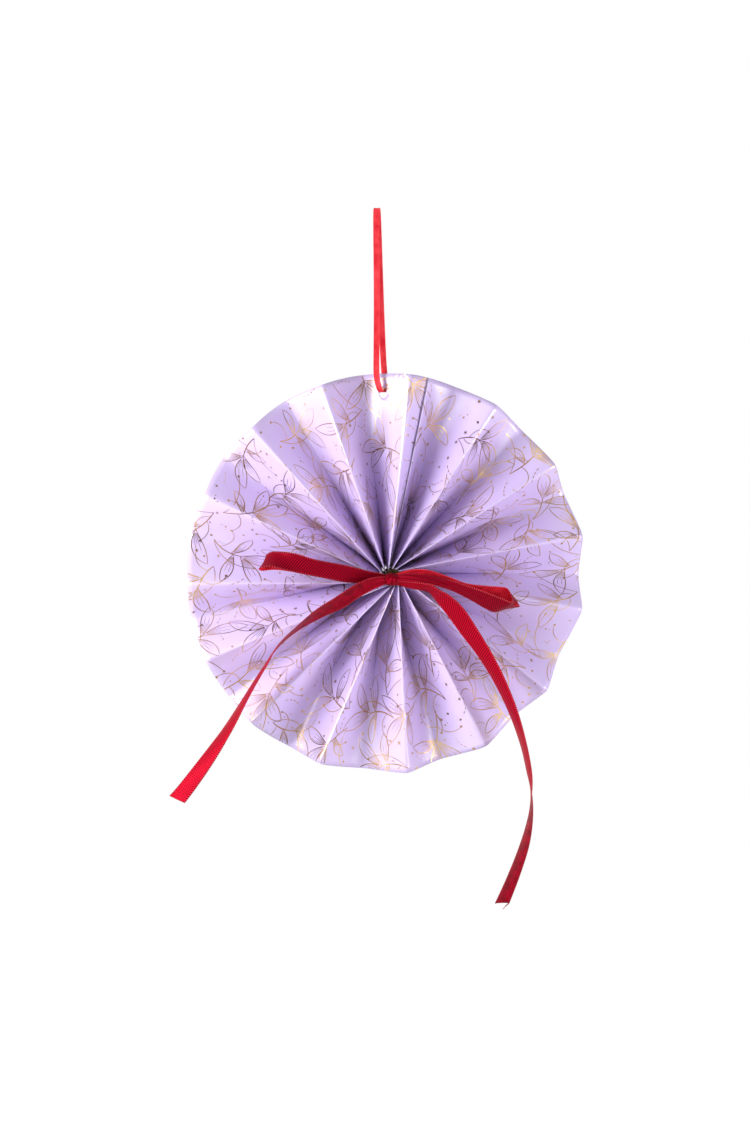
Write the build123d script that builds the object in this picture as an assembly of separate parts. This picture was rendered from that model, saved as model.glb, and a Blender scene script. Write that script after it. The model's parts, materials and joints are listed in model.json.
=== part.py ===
from build123d import *
import math
import os

os.makedirs("parts", exist_ok=True)

# All sizes are in millimetres. +Z is up and the printed front faces -Y.
# The origin is the bight of the hanging ribbon, where it rests on a pin.

# The paper strip and its folds
fan_radius = 100.0
rim_depth = 13.7
ridge_count = 15
hub_radius = 4.2
hub_forward = 4.0
hub_lean = 37.0
paper_thickness = 0.25
ridge_flat = 0.45
valley_flat = 0.7
valley_rim_flat = 3.4
panel_sag = 0.8
hang_drop = 181.0
first_ridge_angle = 8.4
first_valley_angle = 20.4
pitch_angle = 360.0 / ridge_count

# The facets that follow the twist of each panel, shorter towards the hub
facets_along = 8
facet_spread = 1.15

# Hand folding: how far each fold strays from even spacing, in degrees
ridge_stray = (-0.6, 1.5, 2.1, 0.4, -2.0, -0.2, 0.0, 0.3, 1.9, 1.0, -0.5, -2.2, -0.7, -1.7, -2.4)
valley_stray = (2.0, 1.6, 0.4, 0.3, 0.6, -0.8, 0.9, 0.1, -1.4, -2.3, -1.1, -1.0, -0.7, -0.7, -1.2)

# The lap where the two ends of the strip are glued into a ring, as shares of
# the panel: the free edge, the step down there, and where the layers merge
lap_share = 0.36
lap_step_share = 0.01
lap_end_share = 0.9

# The hanging hole, between the last valley and the middle of its panel
hang_hole_radius = 2.35
hang_hole_inset = 9.4
hang_hole_share = 0.8
drill_length = 8.0

# Ribbons
ribbon_thickness = 0.35
bow_ribbon_width = 9.5
hanging_ribbon_width = 3.0
ribbon_steps = 2

# The knot, a wrapped bundle that lies across the front of the hub
knot_radius = 3.3
knot_length = 7.6
knot_offset = -1.6
knot_drop = 0.4
knot_gap = 0.5
knot_bevel = 0.42

# The dab of glue that holds the hub together and carries the bow
glue_clearance = 0.22
glue_length = 11.0
glue_proud = 0.3
glue_chamfer = 0.8

# Sizes that follow: the strip's folded width is the same at hub and rim
half_pitch = math.radians(pitch_angle / 2.0)
rim_chord = 2.0 * fan_radius * math.sin(half_pitch / 2.0)
fold_width = math.hypot(rim_depth, rim_chord)
hub_turn = half_pitch + math.radians(hub_lean)
hub_chord = 2.0 * hub_radius * math.sin(hub_turn / 2.0)
hub_depth = math.sqrt(fold_width ** 2 - hub_chord ** 2)
hub_front = -hub_depth / 2.0 - hub_forward
glue_front = hub_front - glue_proud
glue_radius = hub_radius * math.cos(hub_turn / 2.0) - glue_clearance
knot_depth = hub_front - knot_gap - knot_radius

# The bow's stations were laid out for a ribbon 9.5 wide
bow_scale = bow_ribbon_width / 9.5


def on_dial(angle, radius, depth):
    """A point at a clock angle from the top."""
    a = math.radians(angle)
    return Vector(radius * math.sin(a), depth, radius * math.cos(a) - hang_drop)


def patch(a, b, c, d):
    """A ruled face between the lines a-b and c-d."""
    return Face.make_surface_from_curves(Edge.make_line(a, b), Edge.make_line(c, d))


def triangle(a, b, c):
    """A flat three-sided face."""
    return Face(Wire.make_polygon([a, b, c], close=True))


def ruled_strip(one, two):
    """The twisted surface between two fold lines, as pairs of flat facets."""
    faces = []
    for i in range(facets_along):
        a = along_line(one, i)
        b = along_line(one, i + 1)
        c = along_line(two, i)
        d = along_line(two, i + 1)
        faces.append(triangle(a, b, c))
        faces.append(triangle(b, d, c))
    return faces


def along_line(line, i):
    """The point at one facet corner of a line from the hub to the rim."""
    share = (i / facets_along) ** facet_spread
    return line[0] + (line[1] - line[0]) * share


def fold_corners(index, is_ridge):
    """The hub and rim points of the two corners of one fold. The ridges are
    creased sharp and lean over at the hub, and the valleys open out softly
    towards the rim."""
    if is_ridge:
        angle = first_ridge_angle + pitch_angle * index + ridge_stray[index]
        flats = (ridge_flat, ridge_flat)
        lean = hub_lean
        side = -1.0
    else:
        angle = first_valley_angle + pitch_angle * index + valley_stray[index]
        flats = (valley_flat, valley_rim_flat)
        lean = 0.0
        side = 1.0
    hub_y = side * hub_depth / 2.0 - hub_forward
    rim_y = side * rim_depth / 2.0
    a = math.radians(angle)
    across = Vector(math.cos(a), 0, -math.sin(a))
    corners = []
    for half in (-0.5, 0.5):
        hub_point = on_dial(angle - lean, hub_radius, hub_y) + across * (half * flats[0])
        rim_point = on_dial(angle, fan_radius, rim_y) + across * (half * flats[1])
        corners.append((hub_point, rim_point))
    return corners


def sagged(ridge, valley):
    """The middle of a panel, which sags back towards the rim."""
    hub_point, rim_point = between(ridge, valley, 0.5)
    return (hub_point, rim_point + Vector(0, panel_sag, 0))


def mid_profile():
    """Every corner of the closed ring of folds, clockwise from the top. The
    first panel is the glued one, stiff enough to stay straight."""
    corners = []
    for k in range(ridge_count):
        ridge = fold_corners(k, True)
        valley = fold_corners(k, False)
        following = fold_corners((k + 1) % ridge_count, True)
        corners.extend(ridge)
        if k > 0:
            corners.append(sagged(ridge[1], valley[0]))
        corners.extend(valley)
        corners.append(sagged(following[0], valley[1]))
    return corners


def mitre(before, here, after, radial, reach):
    """The offset at a corner, towards the printed side for reach > 0."""
    n1 = (here - before).cross(radial).normalized()
    n2 = (after - here).cross(radial).normalized()
    return (n1 + n2) * (reach / (1.0 + n1.dot(n2)))


def offset_profile(corners, reach):
    """The same ring of corners, moved off the middle of the paper."""
    count = len(corners)
    moved = []
    for j in range(count):
        hub_line = [corners[(j + s) % count][0] for s in (-1, 0, 1)]
        rim_line = [corners[(j + s) % count][1] for s in (-1, 0, 1)]
        radial = (rim_line[1] - hub_line[1]).normalized()
        hub_point = hub_line[1] + mitre(*hub_line, radial, reach)
        rim_point = rim_line[1] + mitre(*rim_line, radial, reach)
        moved.append((hub_point, rim_point))
    return moved


def between(pair_a, pair_b, share):
    """The hub and rim points a share of the way from one corner to the next."""
    hub_point = pair_a[0] + (pair_b[0] - pair_a[0]) * share
    rim_point = pair_a[1] + (pair_b[1] - pair_a[1]) * share
    return (hub_point, rim_point)


def build_fan():
    """One pleated strip, glued end to end into a ring."""
    middle = mid_profile()
    front = offset_profile(middle, paper_thickness / 2.0)
    back = offset_profile(middle, -paper_thickness / 2.0)
    doubled = offset_profile(middle, paper_thickness * 1.5)

    # The lap: past its free edge the outer end of the strip lies on the inner
    # one, so the front steps out there and both run into the next valley.
    low = between(front[1], front[2], lap_share)
    high = between(doubled[1], doubled[2], lap_share)
    far = between(doubled[1], doubled[2], lap_end_share)
    front_line = front[:2] + [low, high, far] + front[2:]
    back_low = between(back[1], back[2], lap_share)
    back_high = between(back[1], back[2], lap_share + lap_step_share)
    back_far = between(back[1], back[2], lap_end_share)
    back_line = back[:2] + [back_low, back_high, back_far] + back[2:]

    faces = []
    count = len(front_line)
    for j in range(count):
        k = (j + 1) % count
        faces.extend(ruled_strip(front_line[j], front_line[k]))
        faces.extend(ruled_strip(back_line[j], back_line[k]))
        for end in (0, 1):
            front_edge = (front_line[j][end], front_line[k][end])
            back_edge = (back_line[j][end], back_line[k][end])
            faces.append(patch(*front_edge, *back_edge))
    fan = Solid(Shell(faces))

    # The hanging hole, punched square to its own panel
    centre, axis, _ = hang_hole()
    hole_plane = Plane(centre, x_dir=(0, 0, 1), z_dir=axis)
    drill = Solid.make_cylinder(hang_hole_radius, drill_length, hole_plane.offset(-drill_length / 2.0))
    return fan - drill


def hang_hole():
    """The centre of the hanging hole, its axis and the paper's turn there."""
    valley, middle = mid_profile()[-2:]
    hub_point, rim_point = between(valley, middle, hang_hole_share)
    drop = hang_hole_inset / (fan_radius - hub_radius)
    centre = rim_point + (hub_point - rim_point) * drop
    side = middle[1] - valley[1]
    turn = math.atan2(-side.Y, side.X)
    axis = Vector(math.sin(turn), math.cos(turn), 0)
    return centre, axis, turn


def smooth_rows(rows, steps, closed=False):
    """Eases a short list of stations into a finer one."""
    fine = []
    count = len(rows)
    spans = count if closed else count - 1
    for i in range(spans):
        if closed:
            picks = [rows[(i + s) % count] for s in (-1, 0, 1, 2)]
        else:
            picks = [rows[min(max(i + s, 0), count - 1)] for s in (-1, 0, 1, 2)]
        for k in range(steps):
            t = k / steps
            fine.append(tuple(ease(*values, t) for values in zip(*picks)))
    if not closed:
        fine.append(tuple(rows[-1]))
    return fine


def ease(p0, p1, p2, p3, t):
    """A smooth value between p1 and p2."""
    a = 2.0 * p1
    b = p2 - p0
    c = 2.0 * p0 - 5.0 * p1 + 4.0 * p2 - p3
    d = 3.0 * p1 - p0 - 3.0 * p2 + p3
    return 0.5 * (a + b * t + c * t * t + d * t * t * t)


def band(stations, thickness, closed=False):
    """A flat ribbon. A station is the ribbon's middle and the step from there
    to its edge."""
    fine = smooth_rows(stations, ribbon_steps, closed)
    count = len(fine)
    rings = []
    for i in range(count):
        centre = Vector(*fine[i][:3])
        edge = Vector(*fine[i][3:])
        ahead = fine[(i + 1) % count] if closed else fine[min(i + 1, count - 1)]
        behind = fine[i - 1] if closed else fine[max(i - 1, 0)]
        along = Vector(*ahead[:3]) - Vector(*behind[:3])
        half = edge.cross(along).normalized() * (thickness / 2.0)
        rings.append((centre + edge + half, centre - edge + half, centre - edge - half, centre + edge - half))
    faces = []
    spans = count if closed else count - 1
    for i in range(spans):
        one = rings[i]
        two = rings[(i + 1) % count]
        for k in range(4):
            m = (k + 1) % 4
            faces.append(patch(one[k], one[m], two[k], two[m]))
    if not closed:
        for ring in (rings[0], rings[-1]):
            faces.append(patch(ring[0], ring[1], ring[3], ring[2]))
    return Solid(Shell(faces))


# The bow, as stations along each part of its one ribbon: x and z from the
# fan's centre and y from the knot's, then the step from there to the edge
left_loop = (
    (-2.9, -0.3, -0.6, -0.2, -0.7, 1.7),
    (-5.8, -0.9, 0.4, -0.2, -0.4, 2.3),
    (-12.6, -2.1, 1.4, -0.5, -0.9, 3.1),
    (-24.0, -4.3, 3.6, -0.6, -1.1, 4.4),
    (-37.8, -6.1, 7.0, -0.6, -1.6, 4.4),
    (-48.0, -6.9, 9.9, -0.4, -0.3, 4.8),
    (-55.7, -6.7, 11.5, 0.1, 2.5, 4.0),
    (-60.3, -5.3, 12.1, 0.9, 3.4, 3.2),
    (-63.8, -2.9, 11.0, 2.1, 3.1, 3.0),
    (-62.4, -0.5, 10.3, 2.0, 2.3, 3.6),
    (-56.4, 0.9, 10.6, 1.8, 1.4, 3.9),
    (-48.2, 1.4, 8.8, 0.3, -2.2, 4.2),
    (-34.9, 1.3, 5.8, -0.1, -2.8, 3.8),
    (-20.8, 1.1, 2.6, 0.0, -2.1, 3.4),
    (-9.8, 0.7, 0.7, -0.2, -1.5, 2.4),
    (-3.0, 0.4, -0.6, 0.0, -0.7, 1.8),
)
right_loop = (
    (-1.6, -0.5, -0.5, 0.2, 0.7, 1.6),
    (1.8, -1.9, 0.1, 0.1, 1.1, 1.7),
    (6.7, -3.9, 0.3, 0.3, 1.2, 2.1),
    (13.0, -5.7, -0.4, 0.7, 1.6, 2.0),
    (21.3, -6.7, -2.3, 1.0, 1.2, 1.9),
    (28.2, -7.1, -4.7, 1.2, -1.4, 2.2),
    (34.7, -7.3, -7.6, 1.2, -2.3, 2.7),
    (40.4, -7.1, -10.4, 1.4, -2.6, 3.1),
    (45.7, -6.3, -13.2, 1.7, -2.7, 3.5),
    (50.9, -4.9, -15.5, 1.8, -2.7, 3.5),
    (56.4, -3.3, -16.1, 0.4, -4.2, 2.2),
    (60.2, -1.7, -14.4, -2.5, -2.8, 2.9),
    (58.8, -0.5, -12.1, -2.0, 1.3, 4.3),
    (53.5, 0.3, -11.2, -1.5, 0.7, 4.6),
    (45.5, 0.7, -10.2, -0.7, -0.9, 4.6),
    (35.8, 0.7, -7.2, -0.3, -2.8, 3.5),
    (26.1, 0.5, -3.1, 0.0, -2.4, 3.2),
    (16.8, 0.3, 0.5, 0.0, -1.6, 3.0),
    (9.5, 0.3, 1.1, 0.0, -0.4, 2.8),
    (4.0, 0.3, 0.7, 0.1, 0.2, 2.3),
    (-1.5, 0.1, -0.6, 0.0, -0.4, 1.8),
)
left_tail = (
    (-2.1, -0.7, -0.9, 0.0, -0.5, 1.6),
    (-6.6, -2.9, -0.8, -0.4, -0.7, 2.3),
    (-12.9, -4.5, -2.1, -1.3, -1.7, 2.9),
    (-20.0, -4.9, -5.3, -1.9, -2.6, 3.1),
    (-28.1, -3.9, -10.3, -2.2, -2.9, 3.0),
    (-37.1, -2.3, -14.9, -2.1, -3.6, 2.3),
    (-47.3, -0.9, -21.4, -1.3, -4.4, 1.4),
    (-57.1, 0.1, -29.6, -0.9, -4.6, 0.7),
    (-65.0, 1.1, -40.6, 0.0, -4.7, 0.1),
    (-74.1, 1.9, -54.6, 0.9, -4.6, 0.4),
    (-83.5, 2.7, -69.8, 2.1, -4.3, 0.4),
    (-94.0, 3.5, -84.6, 3.1, -3.6, -0.4),
    (-104.2, 4.3, -97.8, 4.1, -2.3, -0.5),
    (-109.7, 4.9, -104.2, 3.6, -2.8, -1.4),
)
right_tail = (
    (-1.6, -0.5, -1.0, 0.1, 0.2, 1.7),
    (2.7, -0.1, -2.0, 0.1, -0.8, 1.8),
    (7.0, 0.4, -3.2, 0.2, -1.5, 2.2),
    (12.0, 0.7, -4.4, 0.3, -2.6, 2.4),
    (16.9, 0.7, -5.8, 0.6, -3.6, 1.9),
    (20.0, 0.7, -7.9, 1.4, -4.0, 1.4),
    (24.5, 0.9, -11.9, 2.5, -3.5, 2.1),
    (30.7, 1.4, -18.9, 3.3, -2.5, 2.4),
    (37.8, 2.1, -29.7, 3.7, -2.7, 1.3),
    (45.0, 2.7, -41.1, 3.4, -3.3, 0.2),
    (51.8, 3.1, -54.0, 2.4, -4.1, 0.4),
    (58.5, 3.7, -70.1, 1.5, -4.5, 0.5),
    (63.7, 4.5, -87.7, 0.7, -4.7, 0.4),
    (66.5, 5.1, -102.8, 0.2, -4.7, 0.5),
    (67.4, 5.5, -114.1, -1.3, -4.6, 0.5),
    (66.3, 6.1, -126.4, -2.5, -4.0, 0.3),
    (63.1, 6.7, -139.8, -3.5, -3.2, 0.3),
    (57.5, 7.3, -154.8, -4.0, -2.5, 0.3),
    (51.5, 7.8, -168.4, -4.2, -2.1, 0.8),
)


def bow_station(row):
    """A station of the bow in its place on the fan."""
    x, y, z, u, v, w = (value * bow_scale for value in row)
    return (x, knot_depth + y, z - hang_drop, u, v, w)


def build_bow():
    """The knot with the loops and tails of one ribbon."""
    start = (knot_offset - knot_length / 2.0, knot_depth, -knot_drop - hang_drop)
    knot_plane = Plane(start, x_dir=(0, 1, 0), z_dir=(1, 0, 0))
    bow = Solid.make_cylinder(knot_radius, knot_length, knot_plane)
    bow = bow.chamfer(knot_radius * knot_bevel, None, bow.edges().filter_by(GeomType.CIRCLE))
    for rows in (left_loop, right_loop, left_tail, right_tail):
        bow = bow.fuse(band([bow_station(row) for row in rows], ribbon_thickness))
    return bow


def build_glue():
    """A plug of set glue inside the hub, just behind the knot."""
    back = Plane((0, glue_front + glue_length, -hang_drop), x_dir=(1, 0, 0), z_dir=(0, -1, 0))
    plug = Solid.make_cylinder(glue_radius, glue_length, back)
    return plug.chamfer(glue_chamfer, None, plug.edges().filter_by(GeomType.CIRCLE))


# The hanging ribbon goes up in front of the rim, over the pin and down behind.
# A row is a share of the way from the hole to the pin, the shift from that
# line to the right and to the back, and a share of the panel's turn.
hang_rows = (
    (0.008, 0.0, 0.4, 1.0),
    (0.013, -0.9, -0.8, 1.0),
    (0.038, -2.0, -1.6, 0.8),
    (0.093, -3.0, -1.4, 0.3),
    (0.181, -3.0, -0.9, 0.0),
    (0.502, -1.7, -0.8, 0.0),
    (0.900, -0.8, -0.9, 0.0),
    (0.989, -0.5, -0.9, 0.0),
    (1.000, 0.0, 0.0, 0.0),
    (0.989, 0.5, 0.9, 0.0),
    (0.900, 0.6, 0.7, 0.0),
    (0.502, 1.1, 0.8, 0.0),
    (0.181, 1.8, 2.0, 0.0),
    (0.093, 1.8, 2.7, 0.5),
    (0.038, 1.5, 2.6, 0.9),
    (0.012, 0.8, 1.6, 1.0),
)


def build_hanging_ribbon():
    """A closed loop, its ends lapped and glued."""
    hole, _, panel_turn = hang_hole()
    stations = []
    for share, right, back, turn_share in hang_rows:
        middle = hole * (1.0 - share) + Vector(right, back, 0)
        turn = panel_turn * turn_share
        u = math.cos(turn) * hanging_ribbon_width / 2.0
        v = -math.sin(turn) * hanging_ribbon_width / 2.0
        stations.append((middle.X, middle.Y, middle.Z, u, v, 0.0))
    return band(stations, ribbon_thickness, closed=True)


def save(shape, name):
    shape.label = name
    export_step(shape, "parts/" + name + ".step")


save(build_fan(), "paper_fan")
save(build_glue(), "hub_glue")
save(build_bow(), "ribbon_bow")
save(build_hanging_ribbon(), "hanging_ribbon")
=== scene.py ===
import json
import math

import bpy
import numpy as np
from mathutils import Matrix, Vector

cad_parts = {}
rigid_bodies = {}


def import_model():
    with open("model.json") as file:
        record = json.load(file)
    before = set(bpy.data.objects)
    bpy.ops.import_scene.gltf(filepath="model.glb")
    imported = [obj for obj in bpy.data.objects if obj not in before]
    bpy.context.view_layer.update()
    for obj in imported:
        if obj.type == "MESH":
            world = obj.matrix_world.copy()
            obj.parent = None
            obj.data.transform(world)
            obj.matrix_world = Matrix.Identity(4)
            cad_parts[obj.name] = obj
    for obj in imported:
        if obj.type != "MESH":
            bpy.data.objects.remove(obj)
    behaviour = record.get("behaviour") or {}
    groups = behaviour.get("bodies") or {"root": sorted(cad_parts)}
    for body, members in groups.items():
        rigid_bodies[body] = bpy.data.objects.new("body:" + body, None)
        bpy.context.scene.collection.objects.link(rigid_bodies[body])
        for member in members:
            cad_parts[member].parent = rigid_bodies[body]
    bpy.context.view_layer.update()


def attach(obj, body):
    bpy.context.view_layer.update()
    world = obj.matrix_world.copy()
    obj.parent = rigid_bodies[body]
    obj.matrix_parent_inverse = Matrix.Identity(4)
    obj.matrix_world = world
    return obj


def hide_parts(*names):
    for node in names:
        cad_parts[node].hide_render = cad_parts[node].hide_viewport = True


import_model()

MM = 0.001

# The folded strip, as in the CAD model
FAN_RADIUS = 100.0 * MM
HUB_RADIUS = 4.2 * MM
HUB_FORWARD = 4.0 * MM
HUB_LEAN = 37.0
RIM_DEPTH = 13.7 * MM
HANG_DROP = 181.0 * MM
RIDGES = 15
PITCH = 360.0 / RIDGES
FIRST_RIDGE = 8.4
FIRST_VALLEY = 20.4
RIDGE_STRAY = (-0.6, 1.5, 2.1, 0.4, -2.0, -0.2, 0.0, 0.3, 1.9, 1.0, -0.5, -2.2, -0.7, -1.7, -2.4)
VALLEY_STRAY = (2.0, 1.6, 0.4, 0.3, 0.6, -0.8, 0.9, 0.1, -1.4, -2.3, -1.1, -1.0, -0.7, -0.7, -1.2)
FOLDS = 2 * RIDGES
PAPER = 0.25 * MM
RIM_CHORD = 2.0 * FAN_RADIUS * math.sin(math.radians(PITCH / 4.0))
FOLD_WIDTH = math.hypot(RIM_DEPTH, RIM_CHORD)
HUB_CHORD = 2.0 * HUB_RADIUS * math.sin(math.radians(PITCH / 4.0 + HUB_LEAN / 2.0))
HUB_DEPTH = math.sqrt(FOLD_WIDTH ** 2 - HUB_CHORD ** 2)
STRIP_HEIGHT = FAN_RADIUS - HUB_RADIUS
LAP_START = 0.36
LAP_END = 0.9

# The hanging hole, in the last panel before the lap
HOLE_RADIUS = 2.35 * MM
HOLE_INSET = 9.4 * MM
HOLE_SHARE = 0.4
HOLE_SAG = 0.6 * MM

# The knot's depth in front of the fan
KNOT_RADIUS = 3.3 * MM
KNOT_GAP = 0.5 * MM
KNOT_DEPTH = -HUB_DEPTH / 2.0 - HUB_FORWARD - KNOT_GAP - KNOT_RADIUS


# Node trees

class Value:
    """A number socket that takes the usual operators."""

    def __init__(self, tree, socket):
        self.tree = tree
        self.socket = socket

    def __add__(self, other):
        return maths(self.tree, "ADD", self, other)

    def __radd__(self, other):
        return maths(self.tree, "ADD", other, self)

    def __sub__(self, other):
        return maths(self.tree, "SUBTRACT", self, other)

    def __rsub__(self, other):
        return maths(self.tree, "SUBTRACT", other, self)

    def __mul__(self, other):
        return maths(self.tree, "MULTIPLY", self, other)

    def __rmul__(self, other):
        return maths(self.tree, "MULTIPLY", other, self)

    def __truediv__(self, other):
        return maths(self.tree, "DIVIDE", self, other)

    def __rtruediv__(self, other):
        return maths(self.tree, "DIVIDE", other, self)

    def __gt__(self, other):
        return maths(self.tree, "GREATER_THAN", self, other)

    def __lt__(self, other):
        return maths(self.tree, "LESS_THAN", self, other)

    def between(self, low, high):
        """0 below low, 1 above high, and smooth in between."""
        made = add(self.tree, "ShaderNodeMapRange", {"interpolation_type": "SMOOTHSTEP"},
                   {"Value": self, "From Min": low, "From Max": high})
        return Value(self.tree, made.outputs["Result"])


def add(tree, kind, settings=None, values=None):
    """Adds one node, sets its settings first and then fills its sockets."""
    made = tree.nodes.new(kind)
    for name, setting in (settings or {}).items():
        if name == "stops":
            fill_ramp(made.color_ramp, setting)
        else:
            setattr(made, name, setting)
    for name, value in (values or {}).items():
        socket = made.inputs[name]
        if isinstance(value, Value):
            tree.links.new(value.socket, socket)
        elif isinstance(value, bpy.types.NodeSocket):
            tree.links.new(value, socket)
        else:
            socket.default_value = value
    return made


def fill_ramp(ramp, stops):
    """Gives a colour ramp its places and colours."""
    while len(ramp.elements) < len(stops):
        ramp.elements.new(0.5)
    for element, (place, colour) in zip(ramp.elements, stops):
        element.position = place
        element.color = (*colour, 1.0)


def maths(tree, operation, *values):
    """One Math node on numbers or wrapped sockets."""
    made = add(tree, "ShaderNodeMath", {"operation": operation}, dict(enumerate(values)))
    return Value(tree, made.outputs[0])


def mix_values(tree, factor, first, second):
    made = add(tree, "ShaderNodeMix", {"data_type": "FLOAT"}, {0: factor, 2: first, 3: second})
    return Value(tree, made.outputs[0])


def mix_vectors(tree, factor, first, second):
    made = add(tree, "ShaderNodeMix", {"data_type": "VECTOR"}, {0: factor, 4: first, 5: second})
    return made.outputs[1]


def mix_colours(tree, factor, first, second):
    made = add(tree, "ShaderNodeMix", {"data_type": "RGBA"}, {0: factor, 6: first, 7: second})
    return made.outputs[2]


def vector_maths(tree, operation, *values):
    """One Vector Math node on vectors."""
    made = add(tree, "ShaderNodeVectorMath", {"operation": operation}, dict(enumerate(values)))
    return made.outputs[0]


def colour(red, green, blue):
    """A screen colour from 0 to 255 as the linear colour that Blender takes."""
    def linear(c):
        c = c / 255.0
        return c / 12.92 if c <= 0.04045 else ((c + 0.055) / 1.055) ** 2.4
    return (linear(red), linear(green), linear(blue), 1.0)


def material(name, slot_colour, roughness):
    """A new material, with its tree and its main shader."""
    made = bpy.data.materials.new(name)
    made.use_nodes = True
    made.diffuse_color = slot_colour
    shader = made.node_tree.nodes["Principled BSDF"]
    shader.inputs["Base Color"].default_value = slot_colour
    shader.inputs["Roughness"].default_value = roughness
    return made, made.node_tree, shader


def noise(tree, scale, detail):
    """Noise from 0 to 1 over a piece, by the place on it."""
    place = add(tree, "ShaderNodeTexCoord").outputs["Object"]
    made = add(tree, "ShaderNodeTexNoise", None, {"Vector": place, "Scale": scale, "Detail": detail})
    return Value(tree, made.outputs["Fac"])


def relief(tree, shader, strength, distance, height):
    """Bump on a surface by a height from 0 to 1."""
    made = add(tree, "ShaderNodeBump", None, {"Strength": strength, "Distance": distance, "Height": height})
    tree.links.new(made.outputs["Normal"], shader.inputs["Normal"])


def tinted(tree, value, stops):
    """A value as a colour, by places and screen colours on a ramp."""
    stops = [(place, colour(*tint)[:3]) for place, tint in stops]
    return add(tree, "ShaderNodeValToRGB", {"stops": stops}, {"Fac": value}).outputs["Color"]


# Objects

def link(name, data):
    """A new object in the scene that shows a mesh, curve, lamp or camera."""
    made = bpy.data.objects.new(name, data)
    bpy.context.scene.collection.objects.link(made)
    return made


def smooth_mesh(name, points, faces, materials):
    mesh = bpy.data.meshes.new(name)
    mesh.from_pydata([tuple(point) for point in points], [], faces)
    for polygon in mesh.polygons:
        polygon.use_smooth = True
    for made in materials:
        mesh.materials.append(made)
    return mesh


def lay_ribbon_map(mesh, places):
    """Gives a ribbon its own map: across and along it, in metres."""
    layer = mesh.uv_layers.new(name="ribbon")
    for loop in mesh.loops:
        layer.data[loop.index].uv = places[loop.vertex_index]


# Materials

THREAD_PERIOD = 1.25 * MM
STITCH_PERIOD = 1.1 * MM


def printed_paper():
    """Pearl lavender paper, smooth with a faint fibre."""
    made, tree, shader = material("printed_paper_front", colour(207, 183, 235), 0.4)
    tone = mix_colours(tree, noise(tree, 38.0, 3.0), colour(203, 178, 232), colour(211, 188, 237))
    tree.links.new(tone, shader.inputs["Base Color"])
    grain = noise(tree, 2600.0, 2.0)
    roughness = 0.28 + grain * 0.16
    tree.links.new(roughness.socket, shader.inputs["Roughness"])
    relief(tree, shader, 0.08, 0.0001, grain)
    shader.inputs["IOR"].default_value = 1.75
    shader.inputs["Specular IOR Level"].default_value = 0.75
    return made


def plain_paper(name, tint):
    """The unprinted back and the cut edges."""
    made, tree, shader = material(name, tint, 0.7)
    fibre = noise(tree, 900.0, 4.0)
    soft = [c * 0.93 for c in tint[:3]] + [1.0]
    tree.links.new(mix_colours(tree, fibre, soft, tint), shader.inputs["Base Color"])
    relief(tree, shader, 0.12, 0.0001, fibre)
    return made


def gold_foil():
    """Stamped foil, with random patches painted bright gold and brown to stand in for its changing
    reflection.
    """
    made, tree, shader = material("gold_foil", colour(176, 138, 88), 0.3)
    # Painted reflection: the noise ramp's brown and bright gold patches copy how the shine catches the light.
    tone = tinted(tree, noise(tree, 55.0, 4.0),
                  [(0.32, (116, 82, 56)), (0.5, (190, 150, 100)), (0.7, (246, 212, 144))])
    tree.links.new(tone, shader.inputs["Base Color"])
    roughness = 0.24 + noise(tree, 900.0, 2.0) * 0.22
    tree.links.new(roughness.socket, shader.inputs["Roughness"])
    shader.inputs["Metallic"].default_value = 0.85
    return made


def woven(name, deep, light, roughness, half_width, weave, shine):
    """Woven ribbon. weave is how strongly its slanted threads stand out, and
    a row of stitches runs along both edges, with a painted highlight on its beads."""
    made, tree, shader = material(name, deep, roughness)
    uv = add(tree, "ShaderNodeUVMap", {"uv_map": "ribbon"}).outputs["UV"]
    split = add(tree, "ShaderNodeSeparateXYZ", None, {0: uv})
    across, along = Value(tree, split.outputs["X"]), Value(tree, split.outputs["Y"])
    turn = 2.0 * math.pi / THREAD_PERIOD
    slanted = maths(tree, "SINE", (along + across * 0.8) * turn)
    counter = maths(tree, "SINE", (along * 0.35 - across) * (turn * 1.1))
    threads = (slanted * 0.65 + counter * 0.35) * 0.5 + 0.5
    patchy = noise(tree, 260.0, 4.0)
    border = (maths(tree, "ABSOLUTE", across) / half_width).between(0.82, 0.9)
    stitch = maths(tree, "SINE", along * (2.0 * math.pi / STITCH_PERIOD)) * 0.5 + 0.5
    mark = mix_values(tree, border, threads * weave + patchy * (1.0 - weave), stitch)
    tone = mix_colours(tree, mark.between(0.3, 0.7), deep, light)
    # Painted highlight: the stitch beads at the edges are made lighter as if they caught the light.
    picot_painted_highlight = [min(1.0, c * 1.35 + 0.04) for c in light[:3]] + [1.0]
    tone = mix_colours(tree, stitch.between(0.45, 0.7) * border, tone, picot_painted_highlight)
    tree.links.new(tone, shader.inputs["Base Color"])
    relief(tree, shader, 0.7, 0.00015, threads * (1.0 - border) + stitch * border * 2.5)
    gloss = roughness + threads * 0.12
    tree.links.new(gloss.socket, shader.inputs["Roughness"])
    shader.inputs["IOR"].default_value = 1.3
    shader.inputs["Specular IOR Level"].default_value = 0.15
    shader.inputs["Metallic"].default_value = shine
    return made


def set_glue():
    """Glue in a dark olive brown, partly its own colour and partly painted shade from the hub, uneven and
    nearly matt.
    """
    made, tree, shader = material("set_glue", colour(84, 72, 44), 0.6)
    shader.inputs["Specular IOR Level"].default_value = 0.05
    cloud = noise(tree, 650.0, 3.0)
    # Partly painted shade: the dark olive stops copy how the glue looks in the hub's shadow.
    tone = tinted(tree, cloud, [(0.35, (30, 24, 13)), (0.6, (80, 66, 38)), (0.76, (150, 130, 96))])
    tree.links.new(tone, shader.inputs["Base Color"])
    relief(tree, shader, 0.4, 0.0003, cloud)
    return made


# The folded paper, made by Geometry Nodes

def on_dial(angle, radius, depth):
    """A point at a clock angle in degrees, from the fan's centre."""
    a = math.radians(angle)
    return Vector((radius * math.sin(a), depth, radius * math.cos(a)))


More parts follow.
